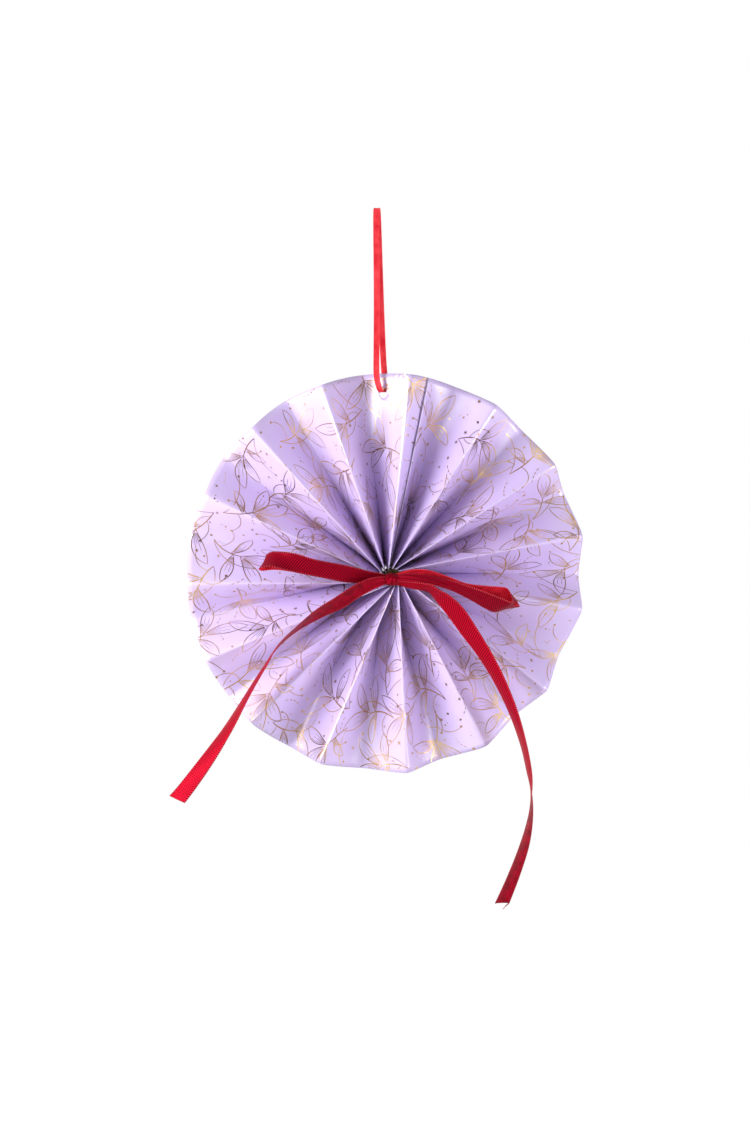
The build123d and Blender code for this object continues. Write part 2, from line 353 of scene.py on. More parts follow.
def fold_line(number):
    """The hub and rim points of one fold: even ones are ridges, which lean
    over at the hub, and odd ones are valleys."""
    k = (number // 2) % RIDGES
    if number % 2 == 0:
        angle, lean, side = FIRST_RIDGE + PITCH * k + RIDGE_STRAY[k], HUB_LEAN, -0.5
    else:
        angle, lean, side = FIRST_VALLEY + PITCH * k + VALLEY_STRAY[k], 0.0, 0.5
    hub = on_dial(angle - lean, HUB_RADIUS, side * HUB_DEPTH - HUB_FORWARD)
    return hub, on_dial(angle, FAN_RADIUS, side * RIM_DEPTH)


def hole_place():
    """The centre of the hanging hole and the paper's turn there."""
    valley, ridge = fold_line(FOLDS - 1), fold_line(0)
    hub = valley[0].lerp(ridge[0], HOLE_SHARE)
    rim = valley[1].lerp(ridge[1], HOLE_SHARE)
    sag = Vector((0.0, HOLE_SAG, 0.0))
    side = ridge[1] - valley[1]
    return (rim + sag).lerp(hub, HOLE_INSET / STRIP_HEIGHT), math.atan2(-side.y, side.x)


def fold_lines():
    """One point for each fold line, with its two ends as hub and rim."""
    lines = [fold_line(number) for number in range(FOLDS + 2)]
    mesh = bpy.data.meshes.new("fold_lines")
    mesh.from_pydata([(k * FOLD_WIDTH, 0, 0) for k in range(FOLDS + 2)], [], [])
    for end, name in enumerate(("hub", "rim")):
        data = mesh.attributes.new(name, "FLOAT_VECTOR", "POINT")
        rows = np.array([line[end] for line in lines], np.float32)
        data.data.foreach_set("vector", rows.ravel())
    return mesh


def new_tree(name, inputs, outputs):
    """A Geometry Nodes tree with named inputs and outputs."""
    tree = bpy.data.node_groups.new(name, "GeometryNodeTree")
    for label, kind in inputs:
        tree.interface.new_socket(label, in_out="INPUT", socket_type="NodeSocket" + kind)
    for label, kind in outputs:
        tree.interface.new_socket(label, in_out="OUTPUT", socket_type="NodeSocket" + kind)
    entry = tree.nodes.new("NodeGroupInput")
    leave = tree.nodes.new("NodeGroupOutput")
    return tree, entry, leave


def fold_surface_group():
    """Flat place on the strip, in folds along and from 0 to 1 across, to the
    place on the folded surface."""
    tree, entry, leave = new_tree(
        "fold_surface",
        [("Lines", "Geometry"), ("Along", "Float"), ("Across", "Float"),
         ("Ridge Radius", "Float"), ("Valley Softness", "Float"), ("Waviness", "Float"),
         ("Hang Drop", "Float")],
        [("Position", "Vector")])
    along = Value(tree, entry.outputs["Along"])
    across = Value(tree, entry.outputs["Across"])
    whole = maths(tree, "FLOOR", along)
    part = along - whole
    ends = []
    for step in (0, 1):
        found = []
        for name in ("hub", "rim"):
            read = add(tree, "GeometryNodeInputNamedAttribute", {"data_type": "FLOAT_VECTOR"}, {"Name": name})
            index = add(tree, "FunctionNodeFloatToInt", {"rounding_mode": "ROUND"}, {0: whole + step})
            sample = add(tree, "GeometryNodeSampleIndex", {"data_type": "FLOAT_VECTOR", "domain": "POINT"},
                         {"Geometry": entry.outputs["Lines"], "Value": read.outputs["Attribute"],
                          "Index": index.outputs[0]})
            found.append(sample.outputs["Value"])
        ends.append(mix_vectors(tree, across, found[0], found[1]))

    # Counted from the ridge, so that ridges stay crisp and valleys go soft
    odd = maths(tree, "MODULO", whole, 2.0)
    from_ridge = mix_values(tree, odd, part, 1.0 - part)
    outer = across * across * across
    radius = Value(tree, entry.outputs["Ridge Radius"]) * (1.8 - across.between(0.0, 0.4) * 0.8 + outer * 3.0)
    reach = maths(tree, "SQRT", from_ridge * from_ridge + radius * radius) - radius
    full = maths(tree, "SQRT", 1.0 + radius * radius) - radius
    rounded = reach / full
    curved = rounded * 1.5 - rounded * rounded * rounded * 0.5
    softness = Value(tree, entry.outputs["Valley Softness"]) * across.between(0.1, 0.9)
    depth_part = mix_values(tree, softness, rounded, curved)
    depth_part = mix_values(tree, odd, depth_part, 1.0 - depth_part)

    # The panel lies between its lines, with its rim bowed out to the arc
    straight = mix_vectors(tree, part, ends[0], ends[1])
    level = (1.0, 0.0, 1.0)
    spans = [add(tree, "ShaderNodeVectorMath", {"operation": "LENGTH"},
                 {0: vector_maths(tree, "MULTIPLY", end, level)}).outputs["Value"]
             for end in (ends[0], ends[1], straight)]
    arc = mix_values(tree, part, spans[0], spans[1]) / Value(tree, spans[2])
    stretch = mix_values(tree, across, 1.0, arc)
    first = add(tree, "ShaderNodeSeparateXYZ", None, {0: ends[0]})
    second = add(tree, "ShaderNodeSeparateXYZ", None, {0: ends[1]})
    flat = add(tree, "ShaderNodeSeparateXYZ", None, {0: straight})
    depth = mix_values(tree, depth_part, first.outputs["Y"], second.outputs["Y"])
    spot = add(tree, "ShaderNodeCombineXYZ", None, {"X": along * 0.8, "Y": across * 3.0})
    ripple = add(tree, "ShaderNodeTexNoise", None, {"Vector": spot.outputs[0], "Scale": 2.0, "Detail": 1.0})
    swell = maths(tree, "SINE", part * math.pi) * Value(tree, entry.outputs["Waviness"])
    depth = depth + (Value(tree, ripple.outputs["Fac"]) - 0.5) * swell
    x = Value(tree, flat.outputs["X"]) * stretch
    z = Value(tree, flat.outputs["Z"]) * stretch - Value(tree, entry.outputs["Hang Drop"])
    place = add(tree, "ShaderNodeCombineXYZ", None, {"X": x, "Y": depth, "Z": z})
    tree.links.new(place.outputs[0], leave.inputs["Position"])
    return tree


def folded(tree, group, entry, along, across):
    """The folded place of a flat place, by the shared group."""
    shared = ("Lines", "Ridge Radius", "Valley Softness", "Waviness", "Hang Drop")
    values = {name: entry.outputs[name] for name in shared}
    values.update({"Along": along, "Across": across})
    return add(tree, "GeometryNodeGroup", {"node_tree": group}, values).outputs["Position"]


def lifted(tree, group, entry, along, across, height):
    """The folded place, moved off the sheet towards the printed side, with
    the outer end of the strip lying on the inner one at the lap."""
    step_along, step_across = 0.004, 0.02
    side = vector_maths(tree, "SUBTRACT", folded(tree, group, entry, along + step_along, across),
                        folded(tree, group, entry, along - step_along, across))
    out = vector_maths(tree, "SUBTRACT", folded(tree, group, entry, along, across + step_across),
                       folded(tree, group, entry, along, across - step_across))
    normal = vector_maths(tree, "NORMALIZE", vector_maths(tree, "CROSS_PRODUCT", side, out))
    lap = (1.0 - along.between(0.8, 1.0)) * Value(tree, entry.outputs["Lap Lift"])
    curl = (1.0 - along.between(0.3, 0.6)) * Value(tree, entry.outputs["Lap Curl"]) * (across * 0.7 + 0.3)
    rise = lap + curl + height
    shift = add(tree, "ShaderNodeVectorMath", {"operation": "SCALE"}, {0: normal, "Scale": rise})
    return vector_maths(tree, "ADD", folded(tree, group, entry, along, across), shift.outputs[0])


FOLD_INPUTS = [("Lines", "Geometry"), ("Ridge Radius", "Float"), ("Valley Softness", "Float"),
               ("Waviness", "Float"), ("Hang Drop", "Float"), ("Lap Lift", "Float"),
               ("Lap Curl", "Float"), ("Folds", "Int"),
               ("Fold Width", "Float"), ("Strip Height", "Float"),
               ("Strip Start", "Float"), ("Strip End", "Float")]
FOLD_SIZES = {"Ridge Radius": 0.018, "Valley Softness": 0.8, "Waviness": 0.9 * MM,
              "Hang Drop": HANG_DROP, "Lap Lift": PAPER * 1.1, "Lap Curl": 0.9 * MM,
              "Folds": FOLDS, "Fold Width": FOLD_WIDTH, "Strip Height": STRIP_HEIGHT}


def paper_tree(group, front):
    """A flat grid, spaced closer near the folds, moved to its folded place."""
    tree, entry, leave = new_tree(
        "pleated_strip", FOLD_INPUTS + [("Columns", "Int"), ("Rows", "Int")], [("Geometry", "Geometry")])
    folds = Value(tree, entry.outputs["Folds"])
    columns = maths(tree, "ADD", (folds + 1.0) * Value(tree, entry.outputs["Columns"]), 1.0)
    grid = add(tree, "GeometryNodeMeshGrid", None,
               {"Size X": 1.0, "Size Y": 1.0, "Vertices X": columns, "Vertices Y": entry.outputs["Rows"]})
    place = add(tree, "GeometryNodeInputPosition").outputs[0]
    split = add(tree, "ShaderNodeSeparateXYZ", None, {0: place})
    raw = (Value(tree, split.outputs["X"]) + 0.5) * (folds + 1.0)
    across = Value(tree, split.outputs["Y"]) + 0.5
    count = Value(tree, entry.outputs["Columns"])
    step = maths(tree, "ROUND", raw * count) / count
    whole = maths(tree, "FLOOR", step)
    eased = (1.0 - maths(tree, "COSINE", (step - whole) * math.pi)) * 0.5
    along = maths(tree, "MAXIMUM", whole + eased, entry.outputs["Strip Start"])
    along = maths(tree, "MINIMUM", along, entry.outputs["Strip End"])
    flat = add(tree, "ShaderNodeCombineXYZ", None,
               {"X": along * Value(tree, entry.outputs["Fold Width"]),
                "Y": across * Value(tree, entry.outputs["Strip Height"])})
    keep = add(tree, "GeometryNodeStoreNamedAttribute", {"data_type": "FLOAT2", "domain": "CORNER"},
               {"Geometry": grid.outputs["Mesh"], "Name": "strip", "Value": flat.outputs[0]})
    moved = add(tree, "GeometryNodeSetPosition", None,
                {"Geometry": keep.outputs["Geometry"],
                 "Position": lifted(tree, group, entry, along, across, 0.0)})
    whole_mesh = add(tree, "GeometryNodeMergeByDistance", None,
                     {"Geometry": moved.outputs["Geometry"], "Distance": 0.00001})
    smooth = add(tree, "GeometryNodeSetShadeSmooth", None,
                 {"Geometry": whole_mesh.outputs["Geometry"], "Shade Smooth": True})
    real = add(tree, "GeometryNodeRealizeInstances", None, {"Geometry": smooth.outputs["Geometry"]})
    dressed = add(tree, "GeometryNodeSetMaterial", None,
                  {"Geometry": real.outputs["Geometry"], "Material": front})
    tree.links.new(dressed.outputs["Geometry"], leave.inputs["Geometry"])
    return tree


def grow(name, base, tree, sizes):
    """Runs a tree on a base mesh and keeps the result as a plain mesh."""
    source = link(name + "_source", base)
    modifier = source.modifiers.new("grow", "NODES")
    modifier.node_group = tree
    for item in tree.interface.items_tree:
        if item.item_type == "SOCKET" and item.in_out == "INPUT" and item.name in sizes:
            modifier[item.identifier] = sizes[item.name]
    bpy.context.view_layer.update()
    seen = source.evaluated_get(bpy.context.evaluated_depsgraph_get())
    mesh = bpy.data.meshes.new_from_object(seen)
    mesh.name = name
    source.modifiers.clear()
    bpy.data.objects.remove(source)
    return link(name, mesh)


def make_fan(group):
    """The paper itself, with its thickness, white back and punched hole."""
    front = printed_paper()
    back = plain_paper("paper_back", colour(238, 236, 240))
    edge = plain_paper("paper_edge", colour(222, 212, 236))
    sizes = dict(FOLD_SIZES)
    sizes.update({"Strip Start": LAP_START, "Strip End": FOLDS + LAP_END, "Columns": 16, "Rows": 36})
    fan = grow("pleated_paper", fold_lines(), paper_tree(group, front), sizes)
    fan.data.materials.clear()
    for made in (front, back, edge):
        fan.data.materials.append(made)
    solid = fan.modifiers.new("paper_thickness", "SOLIDIFY")
    solid.thickness = PAPER
    solid.offset = 0.0
    solid.material_offset = 1
    solid.material_offset_rim = 2
    punch_hole(fan)
    return fan


def punch_hole(fan):
    """Cuts the hanging hole square to its panel."""
    centre, turn = hole_place()
    bpy.ops.mesh.primitive_cylinder_add(vertices=40, radius=HOLE_RADIUS, depth=8.0 * MM,
                                        location=centre - Vector((0.0, 0.0, HANG_DROP)),
                                        rotation=(math.radians(90.0), 0.0, -turn))
    tool = bpy.context.object
    cut = fan.modifiers.new("punched_hole", "BOOLEAN")
    cut.operation = "DIFFERENCE"
    cut.solver = "EXACT"
    cut.object = tool
    bpy.context.view_layer.update()
    mesh = bpy.data.meshes.new_from_object(fan.evaluated_get(bpy.context.evaluated_depsgraph_get()))
    fan.modifiers.clear()
    fan.data = mesh
    mesh.name = fan.name
    bpy.data.objects.remove(tool)


# The foil drawing, in flat metres on the strip

class Drawing:
    """Flat strokes and shapes that become one thin mesh."""

    def __init__(self):
        self.points = []
        self.faces = []

    def stroke(self, line, thick, thin):
        """A line that swells to thick in its middle and thins at both ends."""
        line = np.asarray(line, float)
        ahead = np.gradient(line, axis=0)
        ahead /= np.maximum(np.linalg.norm(ahead, axis=1, keepdims=True), 1e-12)
        side = np.stack([-ahead[:, 1], ahead[:, 0]], 1)
        share = np.linspace(0.0, 1.0, len(line))
        half = 0.5 * (thin + (thick - thin) * np.sin(np.pi * share) ** 0.6)[:, None]
        start = len(self.points)
        for a, b in zip(line + side * half, line - side * half):
            self.points.append((a[0], a[1], 0.0))
            self.points.append((b[0], b[1], 0.0))
        for i in range(len(line) - 1):
            k = start + 2 * i
            self.faces.append((k, k + 1, k + 3, k + 2))

    def shape(self, outline):
        """A filled shape."""
        start = len(self.points)
        self.points.extend((x, y, 0.0) for x, y in outline)
        self.faces.append(tuple(range(start, start + len(outline))))

    def mesh(self, name):
        made = bpy.data.meshes.new(name)
        made.from_pydata(self.points, [], self.faces)
        return made


def bend(start, heading, length, curl, count):
    """Points of a line that turns evenly, in flat metres and radians."""
    points = [np.array(start, float)]
    step = length / (count - 1)
    for i in range(count - 1):
        angle = heading + curl * (i + 0.5) / (count - 1)
        points.append(points[-1] + step * np.array([math.cos(angle), math.sin(angle)]))
    return np.array(points)


LINE = 0.4 * MM
HAIR = 0.2 * MM


def leaf(drawing, start, heading, length, width, curl, veins):
    """A pointed leaf: two edges and thin veins that run along it."""
    rib = bend(start, heading, length, curl, 20)
    ahead = np.gradient(rib, axis=0)
    ahead /= np.linalg.norm(ahead, axis=1, keepdims=True)
    side = np.stack([-ahead[:, 1], ahead[:, 0]], 1)
    share = np.linspace(0.0, 1.0, len(rib))
    belly = width * np.sin(np.pi * share ** 1.25) ** 0.8
    for sign in (-1.0, 1.0):
        drawing.stroke(rib + side * (sign * 0.5 * belly)[:, None], LINE, HAIR)
    for j in range(veins):
        aside = -0.7 + 1.4 * j / max(veins - 1, 1)
        reach = 9 + (4 * j) % 8
        line = rib + side * (aside * 0.5 * belly)[:, None]
        drawing.stroke(line[2:reach], HAIR, HAIR * 0.6)


def berry(drawing, centre, radius):
    """A filled dot."""
    turns = np.linspace(0.0, 2.0 * math.pi, 9)[:-1]
    drawing.shape([(centre[0] + radius * math.cos(a), centre[1] + radius * math.sin(a)) for a in turns])


def tendril(drawing, start, heading, length, curl):
    """A thin curl with a berry at its tip."""
    line = bend(start, heading, length, curl, 14)
    drawing.stroke(line, LINE * 0.8, HAIR)
    berry(drawing, line[-1], 0.55 * MM)


# Each sprig: how its stem turns, its leaves and its tendrils. A leaf is its
# place on the stem, its heading, length, width and turn, and its veins.
SPRIGS = (
    (0.5, ((1.0, 0.1, 18, 5.6, 0.6, 5), (0.95, 0.7, 16, 4.8, 0.5, 5), (0.9, -0.6, 16, 4.6, -0.6, 6),
           (0.6, 1.3, 11, 3.4, 0.7, 4)), ((0.4, -1.1, 12, -1.8), (0.7, 1.7, 9, 1.4), (0.0, 0.5, 21, 1.2))),
    (-0.6, ((1.0, -0.1, 20, 5.0, -0.5, 5), (0.9, 0.6, 17, 5.2, 0.6, 5), (0.7, -0.9, 14, 4.4, -0.7, 5)),
     ((0.2, -0.9, 11, 1.9), (0.4, 1.2, 12, -1.5), (0.0, -0.6, 23, -1.0))),
    (0.9, ((1.0, 0.4, 17, 6.0, 0.4, 5), (1.0, -0.3, 18, 5.2, -0.5, 5), (0.8, -1.1, 14, 4.2, -0.4, 5),
           (0.7, 1.2, 13, 3.6, 0.8, 4)), ((0.3, 0.8, 13, 2.2), (0.0, -0.7, 22, 1.4))),
    (-0.3, ((1.0, 0.0, 16, 5.8, 0.3, 5), (0.95, 0.8, 16, 4.4, 0.8, 5), (0.95, -0.8, 16, 4.4, -0.8, 5)),
     ((0.5, 1.0, 12, 1.6), (0.5, -1.0, 12, -1.6), (0.15, 1.1, 8, -1.4))),
    (0.7, ((1.0, -0.3, 21, 5.4, -0.9, 5), (0.85, 0.5, 16, 4.8, 0.7, 5), (0.5, -0.8, 13, 3.8, -0.7, 4)),
     ((0.6, 1.4, 11, 2.0), (0.2, -1.2, 10, -1.6), (0.0, 0.9, 20, -1.6))),
    (-0.8, ((1.0, 0.4, 18, 5.0, 0.8, 5), (1.0, -0.4, 16, 5.0, -0.4, 5), (0.8, 1.2, 14, 4.0, 0.5, 5)),
     ((0.5, -1.2, 13, 1.6), (0.25, 1.0, 10, -2.0))),
)


def sprigs():
    """Leafy sprigs of this part's own design."""
    made = []
    for number, (turn, leaves, curls) in enumerate(SPRIGS):
        drawing = Drawing()
        stem = bend((-13.0 * MM, -2.0 * MM), 0.1 - turn / 2.0, 13.0 * MM, turn, 15)
        drawing.stroke(stem, LINE * 1.3, LINE * 0.8)
        for place, heading, length, width, curl, veins in leaves:
            start = stem[int(round(place * 14))]
            leaf(drawing, start, heading, length * MM, width * MM, curl, veins)
        for place, heading, length, curl in curls:
            tendril(drawing, stem[int(round(place * 14))], heading, length * MM, curl)
        made.append(drawing.mesh("sprig_%d" % number))
    return made


def fillers():
    """Small marks between the sprigs: stars, dots, dashes and diamonds."""
    star = Drawing()
    for k in range(3):
        a = math.pi / 3.0 * k
        tip = np.array([math.cos(a), math.sin(a)]) * 1.25 * MM
        side = np.array([-math.sin(a), math.cos(a)]) * 0.26 * MM
        star.shape([tip, side, -tip, -side])
    dots = Drawing()
    for place, radius in (((0.0, 0.0), 0.5), ((1.8, 0.9), 0.32), ((-1.5, 1.1), 0.3)):
        berry(dots, (place[0] * MM, place[1] * MM), radius * MM)
    dashes = Drawing()
    arc = bend((-4.5 * MM, 0.0), 0.5, 10.0 * MM, -1.0, 21)
    for first in (0, 5, 10, 15):
        dashes.stroke(arc[first:first + 4], LINE, LINE)
    diamond = Drawing()
    diamond.shape([(0.85 * MM, 0.0), (0.0, 0.6 * MM), (-0.85 * MM, 0.0), (0.0, -0.6 * MM)])
    drawings = (("star", star), ("dots", dots), ("dashes", dashes), ("diamond", diamond),
                ("star_again", star))
    return [drawing.mesh("mark_" + name) for name, drawing in drawings]


def as_collection(name, meshes):
    """A collection, outside the scene, that holds one object for each mesh."""
    group = bpy.data.collections.new(name)
    for mesh in meshes:
        group.objects.link(bpy.data.objects.new(mesh.name, mesh))
    return group


def scattered(tree, entry, motifs, spacing, seed, least, most):
    """Motifs at spread-out random places on the flat strip."""
    width = Value(tree, entry.outputs["Fold Width"]) * (Value(tree, entry.outputs["Folds"]) + 1.0)
    height = Value(tree, entry.outputs["Strip Height"])
    sheet = add(tree, "GeometryNodeMeshGrid", None,
                {"Size X": width, "Size Y": height, "Vertices X": 2, "Vertices Y": 2})
    corner = add(tree, "ShaderNodeCombineXYZ", None,
                 {"X": width * 0.5, "Y": height * 0.5})
    placed = add(tree, "GeometryNodeTransform", None,
                 {"Geometry": sheet.outputs["Mesh"], "Translation": corner.outputs[0]})
    spots = add(tree, "GeometryNodeDistributePointsOnFaces", {"distribute_method": "POISSON"},
                {"Mesh": placed.outputs["Geometry"], "Distance Min": spacing, "Density Max": 60000.0,
                 "Seed": seed})
    several = add(tree, "GeometryNodeCollectionInfo", None,
                  {"Collection": motifs, "Separate Children": True, "Reset Children": True})
    pick = add(tree, "FunctionNodeRandomValue", {"data_type": "INT"}, {4: 0, 5: 9, "Seed": seed + 1})
    turn = add(tree, "FunctionNodeRandomValue", {"data_type": "FLOAT"},
               {2: 0.0, 3: 2.0 * math.pi, "Seed": seed + 2})
    size = add(tree, "FunctionNodeRandomValue", {"data_type": "FLOAT"},
               {2: least, 3: most, "Seed": seed + 3})
    rotation = add(tree, "ShaderNodeCombineXYZ", None, {"Z": turn.outputs[1]})
    return add(tree, "GeometryNodeInstanceOnPoints", None,
               {"Points": spots.outputs["Points"], "Instance": several.outputs[0], "Pick Instance": True,
                "Instance Index": pick.outputs[2], "Rotation": rotation.outputs[0], "Scale": size.outputs[1]})


def foil_tree(group, gold, sprig_group, mark_group):
    """Scatters the drawing on the flat strip, then folds it with the paper."""
    tree, entry, leave = new_tree(
        "foil_drawing", FOLD_INPUTS + [("Sprig Spacing", "Float"), ("Mark Spacing", "Float"),
                                       ("Foil Height", "Float")], [("Geometry", "Geometry")])
    large = scattered(tree, entry, sprig_group, entry.outputs["Sprig Spacing"], 11, 1.1, 1.35)
    small = scattered(tree, entry, mark_group, entry.outputs["Mark Spacing"], 23, 0.7, 1.25)
    sprig_mesh = add(tree, "GeometryNodeRealizeInstances", None, {"Geometry": large.outputs[0]})
    mark_mesh = add(tree, "GeometryNodeRealizeInstances", None, {"Geometry": small.outputs[0]})
    near = add(tree, "GeometryNodeProximity", {"target_element": "EDGES"},
               {"Geometry": sprig_mesh.outputs["Geometry"]})
    crowded = Value(tree, near.outputs["Distance"]) < 1.0 * MM
    clear = add(tree, "GeometryNodeDeleteGeometry", {"domain": "FACE"},
                {"Geometry": mark_mesh.outputs["Geometry"], "Selection": crowded})
    joined = tree.nodes.new("GeometryNodeJoinGeometry")
    tree.links.new(sprig_mesh.outputs["Geometry"], joined.inputs[0])
    tree.links.new(clear.outputs["Geometry"], joined.inputs[0])
    place = add(tree, "GeometryNodeInputPosition").outputs[0]
    split = add(tree, "ShaderNodeSeparateXYZ", None, {0: place})
    along = Value(tree, split.outputs["X"]) / Value(tree, entry.outputs["Fold Width"])
    across = Value(tree, split.outputs["Y"]) / Value(tree, entry.outputs["Strip Height"])
    early = along < Value(tree, entry.outputs["Strip Start"])
    late = along > Value(tree, entry.outputs["Strip End"])
    inside = maths(tree, "ABSOLUTE", across - 0.5) > 0.495
    outside = early + late + inside
    trimmed = add(tree, "GeometryNodeDeleteGeometry", {"domain": "FACE"},
                  {"Geometry": joined.outputs[0], "Selection": outside > 0.5})
    flat = add(tree, "ShaderNodeCombineXYZ", None, {"X": split.outputs["X"], "Y": split.outputs["Y"]})
    keep = add(tree, "GeometryNodeStoreNamedAttribute", {"data_type": "FLOAT2", "domain": "CORNER"},
               {"Geometry": trimmed.outputs["Geometry"], "Name": "strip", "Value": flat.outputs[0]})
    moved = add(tree, "GeometryNodeSetPosition", None,
                {"Geometry": keep.outputs["Geometry"],
                 "Position": lifted(tree, group, entry, along, across,
                                    Value(tree, entry.outputs["Foil Height"]))})
    smooth = add(tree, "GeometryNodeSetShadeSmooth", None,
                 {"Geometry": moved.outputs["Geometry"], "Shade Smooth": True})
    real = add(tree, "GeometryNodeRealizeInstances", None, {"Geometry": smooth.outputs["Geometry"]})
    dressed = add(tree, "GeometryNodeSetMaterial", None,
                  {"Geometry": real.outputs["Geometry"], "Material": gold})
    tree.links.new(dressed.outputs["Geometry"], leave.inputs["Geometry"])
    return tree


def make_foil(group):
    """The gold drawing, just above the paper."""
    gold = gold_foil()
    sprig_group = as_collection("sprig_motifs", sprigs())
    mark_group = as_collection("mark_motifs", fillers())
    sizes = dict(FOLD_SIZES)
    sizes.update({"Strip Start": LAP_START, "Strip End": FOLDS + LAP_START, "Sprig Spacing": 25.0 * MM,
                  "Mark Spacing": 6.5 * MM, "Foil Height": PAPER / 2.0 + 0.04 * MM})
    foil = grow("foil_drawing", fold_lines(), foil_tree(group, gold, sprig_group, mark_group), sizes)
    foil.data.materials.clear()
    foil.data.materials.append(gold)
    for motifs in (sprig_group, mark_group):
        for motif in list(motifs.objects):
            bpy.data.objects.remove(motif)
        bpy.data.collections.remove(motifs)
    return foil


# Ribbons

def eased(rows, steps):
    """More stations between the chosen ones, on a smooth line."""
    rows = [np.array(row, float) for row in rows]
    fine = []
    for i in range(len(rows) - 1):
        p0, p1, p2, p3 = (rows[min(max(i + s, 0), len(rows) - 1)] for s in (-1, 0, 1, 2))
        for k in range(steps):
            t = k / steps
            fine.append(0.5 * (2 * p1 + (p2 - p0) * t + (2 * p0 - 5 * p1 + 4 * p2 - p3) * t * t
                               + (3 * p1 - p0 - 3 * p2 + p3) * t ** 3))
    fine.append(rows[-1])
    return np.array(fine)


def ribbon_mesh(name, fine, start_depth, thick, full_width, cup, pleats, materials):
    """A closed flat ribbon. A station is the ribbon's middle in millimetres
    from the fan's centre, and the step from there to its edge."""
    columns = 17
    centre = fine[:, :3] * MM + np.array([0.0, start_depth, -HANG_DROP])
    ahead = np.gradient(centre, axis=0)
    ahead /= np.linalg.norm(ahead, axis=1, keepdims=True)
    edge = fine[:, 3:6] * MM
    face = np.cross(edge, ahead)
    face /= np.linalg.norm(face, axis=1, keepdims=True)
    length = np.concatenate([[0.0], np.cumsum(np.linalg.norm(np.diff(centre, axis=0), axis=1))])
    half = np.linalg.norm(edge, axis=1)
    gather = np.clip(1.0 - half / (full_width * MM / 2.0), 0.0, 1.0)
    places = np.linspace(-1.0, 1.0, columns)
    points, uvs, faces, sides = [], [], [], []
    for side in (1.0, -1.0):
        for i in range(len(fine)):
            for u in places:
                bulge = cup * MM * (u * u - 0.4) * (1.0 - gather[i])
                fold = pleats * MM * gather[i] * math.sin(u * math.pi * 2.5 + 270.0 * length[i])
                p = centre[i] + edge[i] * u + face[i] * (bulge + fold + side * thick / 2.0)
                points.append(p)
                uvs.append((u * full_width * MM / 2.0, length[i]))
    count = len(fine)

    def index(side, i, j):
        return side * count * columns + i * columns + j

    for i in range(count - 1):
        for j in range(columns - 1):
            a, b, c, d = (index(0, i, j), index(0, i, j + 1), index(0, i + 1, j + 1), index(0, i + 1, j))
            faces.append((b, c, d, a))
            sides.append(0)
            a, b, c, d = (index(1, i, j), index(1, i, j + 1), index(1, i + 1, j + 1), index(1, i + 1, j))
            faces.append((d, c, b, a))
            sides.append(1)
    for i in range(count - 1):
        for j, flip in ((0, False), (columns - 1, True)):
            quad = (index(0, i, j), index(0, i + 1, j), index(1, i + 1, j), index(1, i, j))
            faces.append(quad[::-1] if flip else quad)
            sides.append(0)
    for i, flip in ((0, True), (count - 1, False)):
        for j in range(columns - 1):
            quad = (index(0, i, j), index(0, i, j + 1), index(1, i, j + 1), index(1, i, j))
            faces.append(quad[::-1] if flip else quad)
            sides.append(0)
    mesh = smooth_mesh(name, points, faces, materials)
    lay_ribbon_map(mesh, uvs)
    for polygon, side in zip(mesh.polygons, sides):
        polygon.material_index = side
    return mesh, length[-1]


# The bow, as stations along each part of its one ribbon: x and z from the
# fan's centre and y from the knot's, then the step from there to the edge
LEFT_LOOP = (
    (-2.9, -0.3, -0.6, -0.2, -0.7, 1.7),
    (-5.8, -0.9, 0.4, -0.2, -0.4, 2.3),
    (-12.6, -2.1, 1.4, -0.5, -0.9, 3.1),
    (-24.0, -4.3, 3.6, -0.6, -1.1, 4.4),
    (-37.8, -6.1, 7.0, -0.6, -1.6, 4.4),
    (-48.0, -6.9, 9.9, -0.4, -0.3, 4.8),
    (-55.7, -6.7, 11.5, 0.1, 2.5, 4.0),
    (-60.3, -5.3, 12.1, 0.9, 3.4, 3.2),
    (-63.8, -2.9, 11.0, 2.1, 3.1, 3.0),
    (-62.4, -0.5, 10.3, 2.0, 2.3, 3.6),
    (-56.4, 0.9, 10.6, 1.8, 1.4, 3.9),
    (-48.2, 1.4, 8.8, 0.3, -2.2, 4.2),
    (-34.9, 1.3, 5.8, -0.1, -2.8, 3.8),
    (-20.8, 1.1, 2.6, 0.0, -2.1, 3.4),
    (-9.8, 0.7, 0.7, -0.2, -1.5, 2.4),
    (-3.0, 0.4, -0.6, 0.0, -0.7, 1.8),
)
